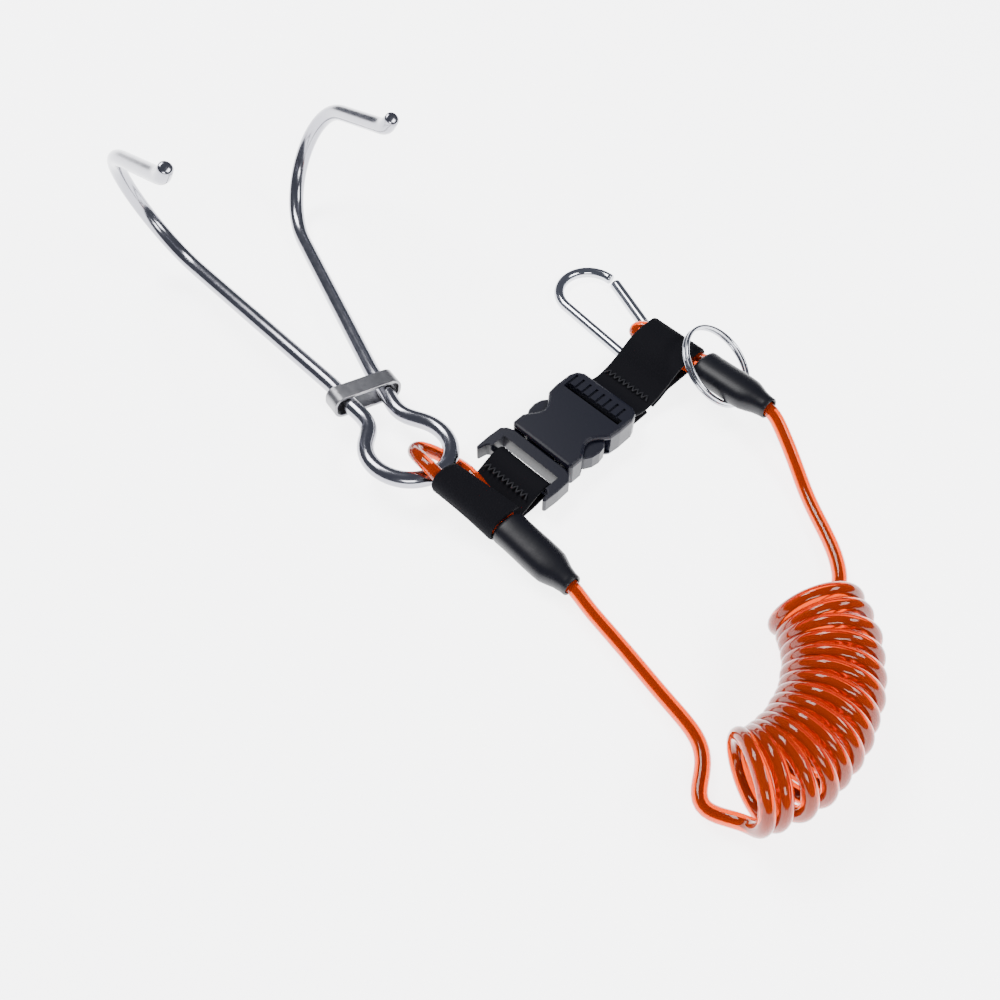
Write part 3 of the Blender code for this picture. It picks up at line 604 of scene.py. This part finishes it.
def build_snap_hook(mats):
    lean = math.degrees(math.asin((HOOK_BIG_R - HOOK_SMALL_R) / HOOK_SPAN))
    path = arc((HOOK_SPAN, 0), HOOK_BIG_R, -80, 90 + lean, 50)
    path += arc((0, 0), HOOK_SMALL_R, 90 + lean, 270 - lean, 30)
    body_end = GATE_PIVOT_X - 2.4
    path += [(x, gate_line(x), 0.0) for x in np.linspace(0.6, body_end, 8)]
    points = even(path, 0.9)
    verts, faces = sweep(put(points, HOOK), HOOK_WIRE_R, 26, dome=(True, True))
    nose = GATE_PIVOT_X + 1.2
    tang = put([(body_end - 1.5, gate_line(body_end), 0), (nose, gate_line(nose), 0)], HOOK)
    verts, faces = join([(verts, faces), sweep(tang, 0.62, 12, dome=(True, True))])
    add("snap_hook_wire", mesh("snap_hook_wire", verts, faces, 60), mats["bright"], "carabiner",
        ("carabiner_body",))

    marks = [(GATE_PIVOT_X - 1.9, 0.86), (GATE_PIVOT_X - 1.7, 0.97), (GATE_PIVOT_X - 1.2, 1.0)]
    marks += [(x, 1.0) for x in np.linspace(GATE_PIVOT_X, GATE_END_X - 1.0, 12)]
    marks += [(GATE_END_X - 0.5, 1.0), (GATE_END_X - 0.15, 0.95), (GATE_END_X, 0.82)]
    line = put([(x, gate_line(x), 0) for x, _ in marks], HOOK)
    parts = [sweep(line, [GATE_R * s for _, s in marks], 26, dome=(False, False))]
    for height in (-1, 1):
        head = [(GATE_PIVOT_X, gate_line(GATE_PIVOT_X), height * z) for z in (GATE_R - 0.5, GATE_R - 0.02)]
        parts.append(sweep(put(head, HOOK), 0.8, 14, dome=(False, True)))
    verts, faces = join(parts)
    add("snap_hook_gate", mesh("snap_hook_gate", verts, faces, 50), mats["bright"], "gate",
        ("carabiner_gate", "gate_spring"))


# ---- slide collar ------------------------------------------------------------------------

def build_collar(mats):
    """A flat strip bent round the two arms as a closed band, with its edges eased."""
    half_x = ARM_HALF_GAP + WIRE_R + 1.35
    half_z = WIRE_R + 0.35
    radius = 2.2
    section = []
    for x, y in ((0.12, -3.0), (0.0, -2.85), (0.0, 2.85), (0.12, 3.0), (0.78, 3.0), (0.9, 2.85), (0.9, -2.85),
                 (0.78, -3.0)):
        section.append((x, y))
    turns = []
    for sx, sz, start in ((1, 1, 0), (-1, 1, 90), (-1, -1, 180), (1, -1, 270)):
        for t in np.linspace(start, start + 90, 14):
            turns.append((sx * (half_x - radius), sz * (half_z - radius), math.radians(t)))
    verts = []
    for cx, cz, t in turns:
        for out, y in section:
            verts.append((cx + (radius + out) * math.cos(t), COLLAR_Y + y, cz + (radius + out) * math.sin(t)))
    faces = []
    size = len(section)
    for k in range(len(turns)):
        nxt = (k + 1) % len(turns)
        for i in range(size):
            j = (i + 1) % size
            faces.append((k * size + i, k * size + j, nxt * size + j, nxt * size + i))
    add("collar_band", mesh("collar_band", put(verts, GRIPPER), faces, 35), mats["satin"], "collar",
        ("slide_collar",))


# ---- repainted CAD -----------------------------------------------------------------------

def repaint(name, mat, width=0.0):
    node = NODES[name]
    node.data.materials.clear()
    node.data.materials.append(mat)
    if width:
        soften(node, width)


def build_kept(mats):
    for name in ("buckle_female_shell", "buckle_male_base", "buckle_left_tine", "buckle_right_tine"):
        repaint(name, mats["plastic"], 0.28)
    repaint("gate_pin", mats["bright"])
    for name in ("left_crimp", "right_crimp"):
        repaint(name, mats["alloy"])


# ---- studio ------------------------------------------------------------------------------

def build_studio():
    data = bpy.data.meshes.new("floor")
    size = 3.0
    corners = [(-size, -size, 0), (size, -size, 0), (size, size, 0), (-size, size, 0)]
    data.from_pydata(corners, [], [(0, 1, 2, 3)])
    floor = bpy.data.objects.new("floor", data)
    floor.location.z = -0.0001
    bpy.context.scene.collection.objects.link(floor)
    mat, tree, bsdf = shader("floor", (0.93, 0.93, 0.95), 0.0, 0.7)
    bsdf.inputs["Emission Color"].default_value = (1, 1, 1, 1)
    bsdf.inputs["Emission Strength"].default_value = 4.5
    data.materials.append(mat)

    world = bpy.data.worlds.new("studio")
    bpy.context.scene.world = world
    world.use_nodes = True
    world.node_tree.nodes["Background"].inputs["Color"].default_value = (0.62, 0.66, 0.8, 1)
    world.node_tree.nodes["Background"].inputs["Strength"].default_value = 0.3
    lamps = (("key", (-0.35, 0.35, 0.75), 0.5, 9.0), ("fill", (0.55, -0.1, 0.6), 0.4, 4.5),
             ("front", (0.1, -0.7, 0.5), 0.35, 3.5))
    for name, place, size, power in lamps:
        data = bpy.data.lights.new(name, "AREA")
        data.shape = "RECTANGLE"
        data.size = size
        data.size_y = size * 0.6
        data.energy = power
        lamp = bpy.data.objects.new(name, data)
        lamp.location = place
        lamp.rotation_euler = (Vector((0, -0.03, 0)) - Vector(place)).to_track_quat("-Z", "Y").to_euler()
        bpy.context.scene.collection.objects.link(lamp)

    data = bpy.data.cameras.new("camera")
    data.lens = 37.8
    data.sensor_width = 36
    data.clip_start = 0.01
    camera = bpy.data.objects.new("camera", data)
    camera.location = (-0.01784, -0.19442, 0.25)
    camera.rotation_euler = (math.radians(35), 0, 0)
    bpy.context.scene.collection.objects.link(camera)
    bpy.context.scene.camera = camera


MATS = build_materials()
build_gripper(MATS)
build_cords(MATS)
build_sleeves(MATS)
build_straps(MATS)
build_ring(MATS)
build_snap_hook(MATS)
build_collar(MATS)
build_kept(MATS)
build_studio()
